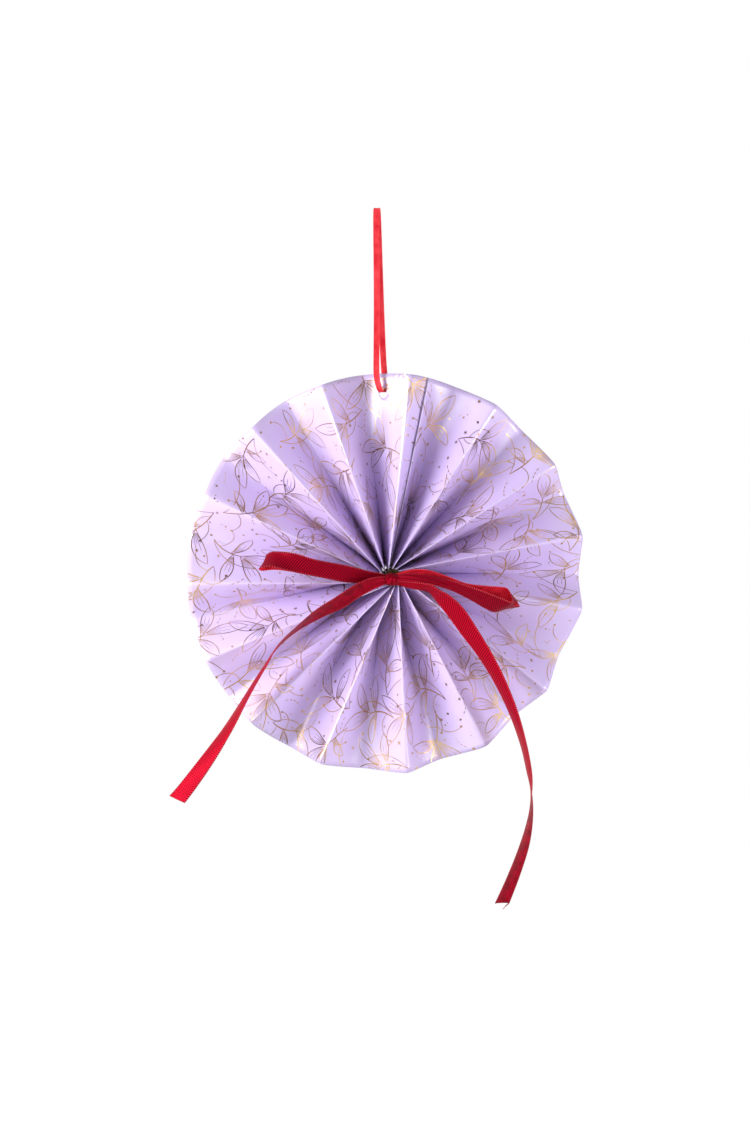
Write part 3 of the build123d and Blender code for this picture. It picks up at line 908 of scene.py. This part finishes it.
RIGHT_LOOP = (
    (-1.6, -0.5, -0.5, 0.2, 0.7, 1.6),
    (1.8, -1.9, 0.1, 0.1, 1.1, 1.7),
    (6.7, -3.9, 0.3, 0.3, 1.2, 2.1),
    (13.0, -5.7, -0.4, 0.7, 1.6, 2.0),
    (21.3, -6.7, -2.3, 1.0, 1.2, 1.9),
    (28.2, -7.1, -4.7, 1.2, -1.4, 2.2),
    (34.7, -7.3, -7.6, 1.2, -2.3, 2.7),
    (40.4, -7.1, -10.4, 1.4, -2.6, 3.1),
    (45.7, -6.3, -13.2, 1.7, -2.7, 3.5),
    (50.9, -4.9, -15.5, 1.8, -2.7, 3.5),
    (56.4, -3.3, -16.1, 0.4, -4.2, 2.2),
    (60.2, -1.7, -14.4, -2.5, -2.8, 2.9),
    (58.8, -0.5, -12.1, -2.0, 1.3, 4.3),
    (53.5, 0.3, -11.2, -1.5, 0.7, 4.6),
    (45.5, 0.7, -10.2, -0.7, -0.9, 4.6),
    (35.8, 0.7, -7.2, -0.3, -2.8, 3.5),
    (26.1, 0.5, -3.1, 0.0, -2.4, 3.2),
    (16.8, 0.3, 0.5, 0.0, -1.6, 3.0),
    (9.5, 0.3, 1.1, 0.0, -0.4, 2.8),
    (4.0, 0.3, 0.7, 0.1, 0.2, 2.3),
    (-1.5, 0.1, -0.6, 0.0, -0.4, 1.8),
)
LEFT_TAIL = (
    (-2.1, -0.7, -0.9, 0.0, -0.5, 1.6),
    (-6.6, -2.9, -0.8, -0.4, -0.7, 2.3),
    (-12.9, -4.5, -2.1, -1.3, -1.7, 2.9),
    (-20.0, -4.9, -5.3, -1.9, -2.6, 3.1),
    (-28.1, -3.9, -10.3, -2.2, -2.9, 3.0),
    (-37.1, -2.3, -14.9, -2.1, -3.6, 2.3),
    (-47.3, -0.9, -21.4, -1.3, -4.4, 1.4),
    (-57.1, 0.1, -29.6, -0.9, -4.6, 0.7),
    (-65.0, 1.1, -40.6, 0.0, -4.7, 0.1),
    (-74.1, 1.9, -54.6, 0.9, -4.6, 0.4),
    (-83.5, 2.7, -69.8, 2.1, -4.3, 0.4),
    (-94.0, 3.5, -84.6, 3.1, -3.6, -0.4),
    (-104.2, 4.3, -97.8, 4.1, -2.3, -0.5),
    (-109.7, 4.9, -104.2, 3.6, -2.8, -1.4),
)
RIGHT_TAIL = (
    (-1.6, -0.5, -1.0, 0.1, 0.2, 1.7),
    (2.7, -0.1, -2.0, 0.1, -0.8, 1.8),
    (7.0, 0.4, -3.2, 0.2, -1.5, 2.2),
    (12.0, 0.7, -4.4, 0.3, -2.6, 2.4),
    (16.9, 0.7, -5.8, 0.6, -3.6, 1.9),
    (20.0, 0.7, -7.9, 1.4, -4.0, 1.4),
    (24.5, 0.9, -11.9, 2.5, -3.5, 2.1),
    (30.7, 1.4, -18.9, 3.3, -2.5, 2.4),
    (37.8, 2.1, -29.7, 3.7, -2.7, 1.3),
    (45.0, 2.7, -41.1, 3.4, -3.3, 0.2),
    (51.8, 3.1, -54.0, 2.4, -4.1, 0.4),
    (58.5, 3.7, -70.1, 1.5, -4.5, 0.5),
    (63.7, 4.5, -87.7, 0.7, -4.7, 0.4),
    (66.5, 5.1, -102.8, 0.2, -4.7, 0.5),
    (67.4, 5.5, -114.1, -1.3, -4.6, 0.5),
    (66.3, 6.1, -126.4, -2.5, -4.0, 0.3),
    (63.1, 6.7, -139.8, -3.5, -3.2, 0.3),
    (57.5, 7.3, -154.8, -4.0, -2.5, 0.3),
    (51.5, 7.8, -168.4, -4.2, -2.1, 0.8),
)
# One thread that has worked loose at the end of the right tail
LOOSE_THREAD = (
    (55.7, 9.75, -168.5, -0.22, -0.16, 0.0),
    (55.2, 9.7, -169.6, -0.18, -0.16, 0.16),
    (53.6, 9.3, -170.6, 0.0, -0.16, 0.24),
    (52.4, 9.1, -171.9, 0.22, -0.16, 0.16),
)
BOW_WIDTH = 9.5


def join(name, objects):
    """Several pieces of one ribbon as one object."""
    bpy.ops.object.select_all(action="DESELECT")
    for made in objects:
        made.select_set(True)
    bpy.context.view_layer.objects.active = objects[0]
    bpy.ops.object.join()
    objects[0].name = name
    objects[0].data.name = name
    return objects[0]


KNOT_CENTRE = np.array([-1.4 * MM, KNOT_DEPTH, -0.5 * MM - HANG_DROP])
KNOT_HALF = np.array([4.3, 3.1, 3.15]) * MM
KNOT_TUCK = np.array([2.1, 2.9]) * MM
KNOT_PLEATS = 6.0
PLEAT_DEPTH = 0.8 * MM
TUCK_DEPTH = 1.2 * MM


def knot_mesh(materials):
    """The wrapped knot, with pleats that spread from a tuck at upper right."""
    rings, turns = 90, 130
    points, uvs, faces = [], [], []
    for i in range(1, rings):
        polar = math.pi * i / rings
        for j in range(turns):
            around = 2.0 * math.pi * j / turns
            out = np.array([math.cos(polar), math.sin(polar) * math.cos(around),
                            math.sin(polar) * math.sin(around)])
            spot = KNOT_HALF * out
            away = np.array([spot[0] - KNOT_TUCK[0], KNOT_TUCK[1] - spot[2]])
            reach = math.hypot(*away)
            spread = math.atan2(away[0], away[1])
            front = max(0.0, -out[1]) ** 0.5
            pleat = abs(math.sin(spread * KNOT_PLEATS + 0.8 * math.sin(reach / MM * 0.8))) ** 0.6
            push = (pleat - 0.6) * PLEAT_DEPTH * front * min(1.0, reach / (2.0 * MM))
            push -= TUCK_DEPTH * front * math.exp(-(reach / (1.0 * MM)) ** 2)
            points.append(KNOT_CENTRE + spot + out * push)
            uvs.append((math.cos(polar) * KNOT_HALF[0], around * KNOT_HALF[2]))
    for i in range(rings - 2):
        for j in range(turns):
            a, b = i * turns + j, i * turns + (j + 1) % turns
            faces.append((a + turns, b + turns, b, a))
    last = (rings - 2) * turns
    faces.append(tuple(range(turns)))
    faces.append(tuple(range(last, last + turns))[::-1])
    mesh = smooth_mesh("knot", points, faces, materials)
    lay_ribbon_map(mesh, uvs)
    return mesh


def make_bow():
    """Knot, loops and tails of one length of satin ribbon."""
    half = BOW_WIDTH * MM / 2.0
    satin = woven("ribbon_satin_face", colour(104, 0, 18), colour(164, 0, 34), 0.36, half, 0.3, 0.5)
    twill = woven("ribbon_twill_back", colour(88, 0, 16), colour(160, 0, 34), 0.42, half, 0.9, 0.4)
    # Painted light: the next two are lighter copies of the satin and the twill, held in bright and outer, for
    # the faces that catch the lamp.
    bright = woven("ribbon_satin_lit", colour(168, 6, 32), colour(218, 36, 56), 0.4, half, 0.35, 0.35)
    outer = woven("ribbon_twill_lit", colour(118, 0, 20), colour(192, 4, 40), 0.42, half, 0.9, 0.4)
    parts = [link("knot", knot_mesh([satin, satin]))]
    total = 0.0
    # The lit copies (bright, outer) are painted light on one side of each loop and on the tails' backs.
    for name, rows, faces in (("left_loop", LEFT_LOOP, [twill, bright]),
                              ("right_loop", RIGHT_LOOP, [bright, twill]),
                              ("left_tail", LEFT_TAIL, [satin, outer]),
                              ("right_tail", RIGHT_TAIL, [satin, outer])):
        mesh, length = ribbon_mesh(name, eased(rows, 10), KNOT_DEPTH, 0.25 * MM, BOW_WIDTH, 0.5, 0.5, faces)
        parts.append(link(name, mesh))
        total += length
    thread, _ = ribbon_mesh("loose_thread", eased(LOOSE_THREAD, 10), KNOT_DEPTH, 0.25 * MM, 0.55, 0.0, 0.0,
                            [satin, satin])
    parts.append(link("loose_thread", thread))
    bow = join("satin_bow", parts)
    return bow, total


# The hanging ribbon, by the CAD model's points, four of them moved sideways by
# 0.2 to 0.6 mm. A row is a share of the way from the hole to the pin, the shift
# from that line to the right and to the back in millimetres, and a share of the
# paper's turn.
HANG_ROWS = (
    (0.008, 0.0, 0.4, 1.0),
    (0.013, -0.9, -0.8, 1.0),
    (0.038, -2.0, -1.6, 0.8),
    (0.093, -3.0, -1.4, 0.3),
    (0.181, -2.7, -0.9, 0.0),
    (0.502, -1.5, -0.8, 0.0),
    (0.900, -0.8, -0.9, 0.0),
    (0.989, -0.5, -0.9, 0.0),
    (1.000, 0.0, 0.0, 0.0),
    (0.989, 0.5, 0.9, 0.0),
    (0.900, 0.6, 0.7, 0.0),
    (0.502, 0.7, 0.8, 0.0),
    (0.181, 1.2, 2.0, 0.0),
    (0.093, 1.8, 2.7, 0.5),
    (0.038, 1.5, 2.6, 0.9),
    (0.012, 0.8, 1.6, 1.0),
)
HANG_WIDTH = 3.0
HANG_LAP = 2
HANG_UNDER = 0.35


def route_points(name, route):
    """Points along a smooth spline through the chosen route, in metres."""
    curve = bpy.data.curves.new(name, "CURVE")
    curve.dimensions = "3D"
    curve.resolution_u = 10
    spline = curve.splines.new("NURBS")
    spline.points.add(len(route) - 1)
    for point, place in zip(spline.points, route):
        point.co = (*place, 1.0)
    spline.order_u = 3
    spline.use_endpoint_u = True
    holder = link(name, curve)
    bpy.context.view_layer.update()
    line = bpy.data.meshes.new_from_object(holder.evaluated_get(bpy.context.evaluated_depsgraph_get()))
    points = np.array([v.co[:] for v in line.vertices])
    bpy.data.objects.remove(holder)
    bpy.data.meshes.remove(line)
    return points


def make_hanger():
    """The narrow ribbon: up from behind the hole, through it, over the pin
    and down again to lap over its own start."""
    face = woven("narrow_ribbon_face", colour(206, 24, 44), colour(246, 76, 84), 0.38, HANG_WIDTH * MM / 2.0,
                 0.3, 0.5)
    hole, paper_turn = hole_place()
    hole = hole - Vector((0.0, 0.0, HANG_DROP))
    rows = HANG_ROWS[-HANG_LAP:] + HANG_ROWS[:-1]
    route, turns = [], []
    for number, (share, right, back, turn_share) in enumerate(rows):
        under = HANG_UNDER if number < HANG_LAP else 0.0
        route.append(hole * (1.0 - share) + Vector((right, back - under, 0.0)) * MM)
        turns.append(turn_share * paper_turn)
    points = route_points("hanging_route", route)
    length = np.concatenate([[0.0], np.cumsum(np.linalg.norm(np.diff(points, axis=0), axis=1))])
    places = np.linspace(0.0, 1.0, len(turns))
    turn = np.interp(np.linspace(0.0, 1.0, len(points)), places, turns)
    fine = np.zeros((len(points), 6))
    fine[:, :3] = (points + np.array([0.0, 0.0, HANG_DROP])) / MM
    fine[:, 3] = np.cos(turn) * HANG_WIDTH / 2.0
    fine[:, 4] = -np.sin(turn) * HANG_WIDTH / 2.0
    mesh, _ = ribbon_mesh("hanging_satin", fine, 0.0, 0.3 * MM, HANG_WIDTH, 0.12, 0.0, [face, face])
    return link("hanging_satin", mesh), float(length[-1]), [tuple(p) for p in points]


# The dab of glue

GLUE_PROUD = 0.3 * MM
GLUE_LENGTH = 11.0 * MM
GLUE_RINGS = 8
GLUE_FILL = 0.98
GLUE_LUMP = 1.6 * MM


def glue_ring(depth, share):
    """Points round the hub just inside the folds' inner edges at a depth,
    drawn in towards the middle by a share."""
    points = []
    for k in range(RIDGES):
        ridge = fold_line(2 * k)[0]
        for valley in (fold_line((2 * k - 1) % FOLDS)[0], fold_line(2 * k + 1)[0]):
            part = min(max((depth - ridge.y) / (valley.y - ridge.y), 0.04), 1.0)
            edge = ridge.lerp(valley, part)
            around = math.atan2(edge.x, edge.z)
            lump = (0.5 + 0.5 * math.sin(3.0 * around + 9.0 * share)) * (1.0 - share) * GLUE_LUMP
            points.append((edge.x * GLUE_FILL * share, depth + lump,
                           edge.z * GLUE_FILL * share - HANG_DROP))
    return points


def make_glue():
    """Set glue that fills the hub out to the paper, lumpy at its front."""
    front = -HUB_DEPTH / 2.0 - HUB_FORWARD - GLUE_PROUD
    rings = [glue_ring(front, share) for share in (0.2, 0.4, 0.6, 0.8, 0.93)]
    for i in range(GLUE_RINGS + 1):
        rings.append(glue_ring(front + GLUE_PROUD + (GLUE_LENGTH - GLUE_PROUD) * i / GLUE_RINGS, 1.0))
    points = [point for ring in rings for point in ring]
    faces = []
    for i in range(len(rings) - 1):
        for j in range(FOLDS):
            a, b = i * FOLDS + j, i * FOLDS + (j + 1) % FOLDS
            faces.append((a, b, b + FOLDS, a + FOLDS))
    faces.append(tuple(range(FOLDS))[::-1])
    last = (len(rings) - 1) * FOLDS
    faces.append(tuple(range(last, last + FOLDS)))
    return link("glue_plug", smooth_mesh("glue_plug", points, faces, [set_glue()]))


# Stage, light and camera

PHOTO_WIDTH, PHOTO_HEIGHT = 750, 1125
CAMERA_DISTANCE = 850.0 * MM
CAMERA_LEFT, CAMERA_UP, CAMERA_ROLL = 8.5, 5.5, 1.7
FOCAL_PIXELS = 1698.0
FAN_PIXEL = (387.8, 574.4)
FAN_CENTRE = Vector((0.0, 0.0, -HANG_DROP))
FLOOR_LEVEL = -0.5
FLOOR_HALF = 8.0


def make_camera():
    """At the photograph's angle, aimed so that the fan sits where it does."""
    left, up = math.radians(CAMERA_LEFT), math.radians(CAMERA_UP)
    away = Vector((-math.sin(left) * math.cos(up), -math.cos(left) * math.cos(up), math.sin(up)))
    data = bpy.data.cameras.new("camera")
    data.sensor_width = 36.0
    data.lens = FOCAL_PIXELS / PHOTO_HEIGHT * data.sensor_width
    data.clip_start = 0.01
    camera = link("camera", data)
    camera.location = FAN_CENTRE + away * CAMERA_DISTANCE
    turn = (-away).to_track_quat("-Z", "Y").to_matrix()
    roll = math.radians(CAMERA_ROLL)
    right = turn.col[0] * math.cos(roll) - turn.col[1] * math.sin(roll)
    upward = turn.col[0] * math.sin(roll) + turn.col[1] * math.cos(roll)
    aside = (PHOTO_WIDTH / 2.0 - FAN_PIXEL[0]) / FOCAL_PIXELS
    above = (FAN_PIXEL[1] - PHOTO_HEIGHT / 2.0) / FOCAL_PIXELS
    look = (-away + right * aside + upward * above).normalized()
    level = look.cross(upward).normalized()
    upright = level.cross(look)
    turned = camera.matrix_world.to_3x3()
    turned.col[0], turned.col[1], turned.col[2] = level, upright, -look
    camera.rotation_euler = turned.to_euler()
    bpy.context.scene.camera = camera


def lamp(name, place, aim, size, power, tint):
    """A square soft lamp that points at a place."""
    data = bpy.data.lights.new(name, "AREA")
    data.size = size
    data.energy = power
    data.color = tint
    made = link(name, data)
    made.location = place
    made.rotation_euler = (Vector(aim) - Vector(place)).to_track_quat("-Z", "Y").to_euler()


def shown_rays(tree):
    """1 for rays from the camera, a reflection or a clear piece, else 0."""
    path = add(tree, "ShaderNodeLightPath")
    shown = maths(tree, "MAXIMUM", path.outputs["Is Camera Ray"], path.outputs["Is Transmission Ray"])
    return maths(tree, "MAXIMUM", shown, path.outputs["Is Glossy Ray"])


def make_stage():
    """A pale floor well below, two soft lamps and a white room."""
    floor_mesh = bpy.data.meshes.new("floor")
    corners = [(x * FLOOR_HALF, y * FLOOR_HALF, FLOOR_LEVEL) for x, y in ((-1, -1), (1, -1), (1, 1), (-1, 1))]
    floor_mesh.from_pydata(corners, [], [(0, 1, 2, 3)])
    floor = link("floor", floor_mesh)
    pale, tree, shader = material("pale_floor", colour(244, 244, 244), 0.9)
    floor_mesh.materials.append(pale)
    seen_directly = shown_rays(tree)
    glow = add(tree, "ShaderNodeEmission", None, {"Color": (1, 1, 1, 1), "Strength": 1.06})
    seen = add(tree, "ShaderNodeMixShader", None,
               {0: seen_directly * 0.9, 1: shader.outputs[0], 2: glow.outputs[0]})
    tree.links.new(seen.outputs[0], tree.nodes["Material Output"].inputs["Surface"])

    world = bpy.data.worlds.new("white_room")
    bpy.context.scene.world = world
    world.use_nodes = True
    sky = world.node_tree
    strength = mix_values(sky, shown_rays(sky), 0.42, 1.0)
    back = sky.nodes["Background"]
    back.inputs["Color"].default_value = (1.0, 1.0, 1.0, 1.0)
    sky.links.new(strength.socket, back.inputs["Strength"])

    aim = FAN_CENTRE
    lamp("key_lamp", FAN_CENTRE + Vector((-0.58, -0.3, 0.12)), aim, 0.35, 6.2, (0.94, 1.0, 0.93))
    lamp("fill_lamp", FAN_CENTRE + Vector((0.8, -0.36, -0.3)), aim, 0.5, 9.5, (0.98, 1.0, 0.98))


# Everything together

bpy.context.scene.view_settings.view_transform = "Standard"
make_camera()
make_stage()

hanger, hang_length, hang_path = make_hanger()
surface = fold_surface_group()
fan = make_fan(surface)
foil = make_foil(surface)
bow, bow_length = make_bow()
glue = make_glue()

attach(fan, "root")
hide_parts("paper_fan")
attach(foil, "root")
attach(bow, "root")
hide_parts("ribbon_bow")
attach(hanger, "root")
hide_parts("hanging_ribbon")
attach(glue, "root")
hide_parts("hub_glue")
